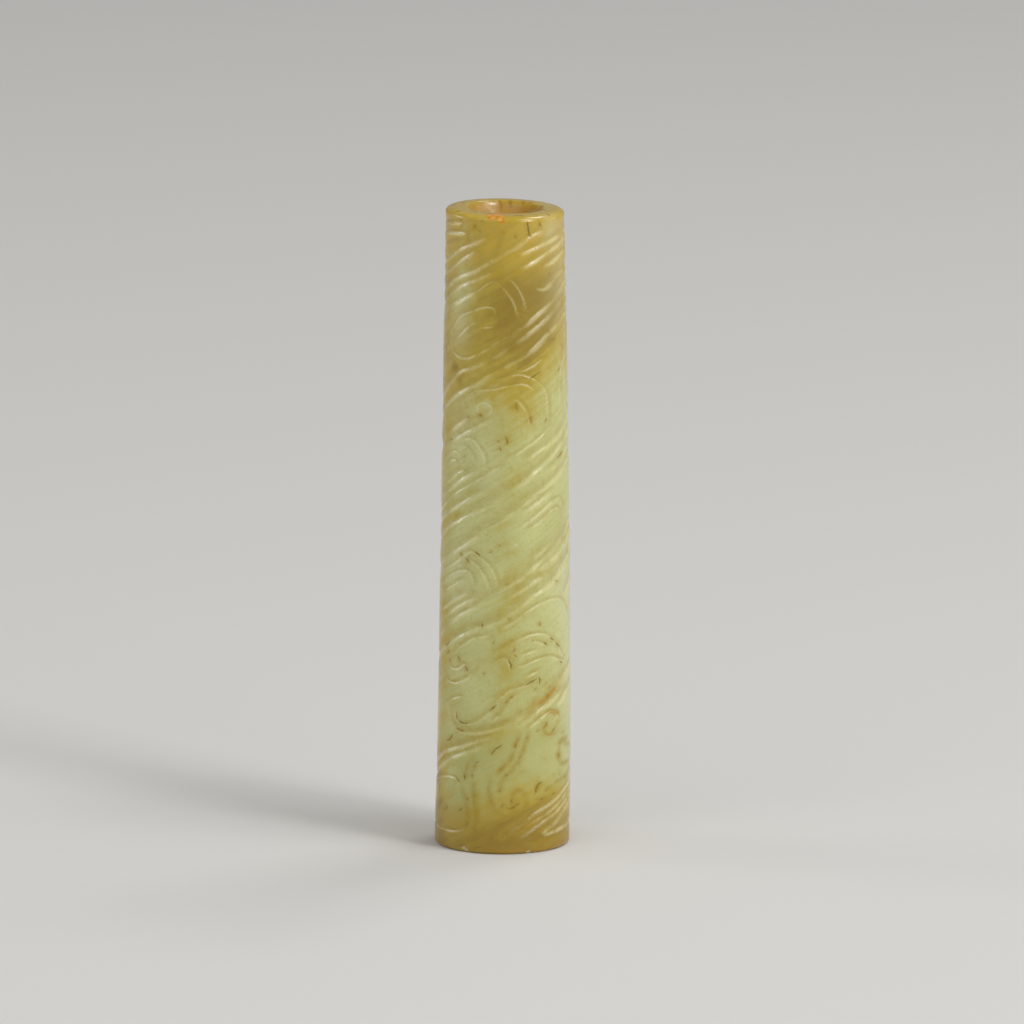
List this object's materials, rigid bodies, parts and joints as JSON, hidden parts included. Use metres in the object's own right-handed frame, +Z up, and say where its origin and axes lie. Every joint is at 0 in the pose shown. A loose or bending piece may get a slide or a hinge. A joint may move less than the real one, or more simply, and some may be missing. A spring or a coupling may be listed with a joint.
{
  "type": "jade tube bead",
  "caption": "Slender carved stone tube, a little thicker at its foot, with rope grooves winding up it, scrolls between them and a bore along its axis for a stringing cord.",
  "frame": {"origin": "centre of the foot, on the plane that the foot rests on", "axes": "+Z is up along the bore, from the thicker foot to the crowned top; the carved front faces -Y"},
  "size_m": [0.0164, 0.0164, 0.0783],
  "materials": {
    "jade": "gloss"
  },
  "bodies": {
    "root": {"jade_tube": "jade"}
  },
  "joints": []
}
